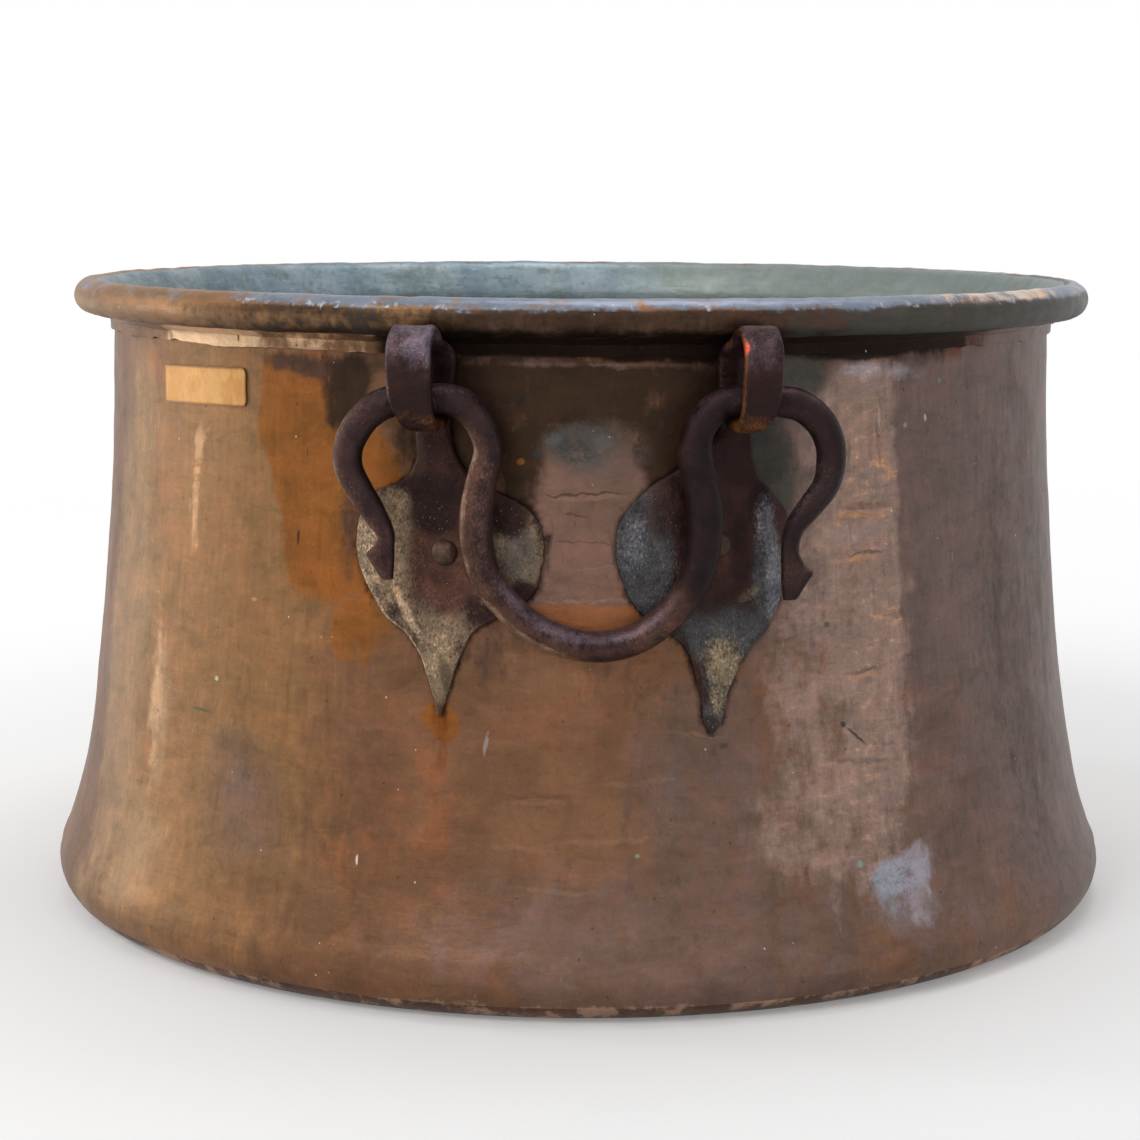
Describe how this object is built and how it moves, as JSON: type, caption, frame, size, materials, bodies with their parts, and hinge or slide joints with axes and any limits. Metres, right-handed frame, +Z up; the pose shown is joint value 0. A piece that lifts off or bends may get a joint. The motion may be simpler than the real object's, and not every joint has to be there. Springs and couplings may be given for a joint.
{
  "type": "copper cauldron",
  "caption": "Large round copper cauldron with a flared base, a rim rolled over wire and two hinged forged iron bail handles hung in riveted ears.",
  "frame": {"origin": "centre of the flat base, on the surface that it rests on", "axes": "+Z up; -Y out through the front handle, +Y through the rear one; +X right as seen from the front"},
  "size_m": [0.6608, 0.6608, 0.3798],
  "materials": {
    "copper": "hammered copper with brown, gold and violet patina",
    "pan_copper": "dark worn copper outside, grey tin wash inside",
    "wire_iron": "plain iron wire, hidden in the rim",
    "forged_iron": "forged iron, dark purple-brown rust",
    "rivet_iron": "hammered iron, rusted",
    "brass_plate": "dull gilt, blank"
  },
  "bodies": {
    "vessel": {"front_wall_sheet": "copper", "rear_wall_sheet": "copper", "floor_pan": "pan_copper", "rim_wire": "wire_iron", "blank_plate": "brass_plate", "front_left_ear": "forged_iron", "front_left_leaf_rivet": "rivet_iron", "front_left_leaf_rove": "rivet_iron", "front_left_eye_rivet": "rivet_iron", "front_left_eye_rove": "rivet_iron", "front_right_ear": "forged_iron", "front_right_leaf_rivet": "rivet_iron", "front_right_leaf_rove": "rivet_iron", "front_right_eye_rivet": "rivet_iron", "front_right_eye_rove": "rivet_iron", "rear_left_ear": "forged_iron", "rear_left_leaf_rivet": "rivet_iron", "rear_left_leaf_rove": "rivet_iron", "rear_left_eye_rivet": "rivet_iron", "rear_left_eye_rove": "rivet_iron", "rear_right_ear": "forged_iron", "rear_right_leaf_rivet": "rivet_iron", "rear_right_leaf_rove": "rivet_iron", "rear_right_eye_rivet": "rivet_iron", "rear_right_eye_rove": "rivet_iron"},
    "front_handle": {"front_bail": "forged_iron"},
    "rear_handle": {"rear_bail": "forged_iron"}
  },
  "joints": [
    {"name": "front_handle_swing", "type": "hinge", "parent": "vessel", "child": "front_handle", "pos_m": [0, -0.303, 0.3278], "axis": [-1, 0, 0], "range_deg": [0, 154]},
    {"name": "rear_handle_swing", "type": "hinge", "parent": "vessel", "child": "rear_handle", "pos_m": [0, 0.303, 0.3278], "axis": [1, 0, 0], "range_deg": [0, 154]}
  ]
}
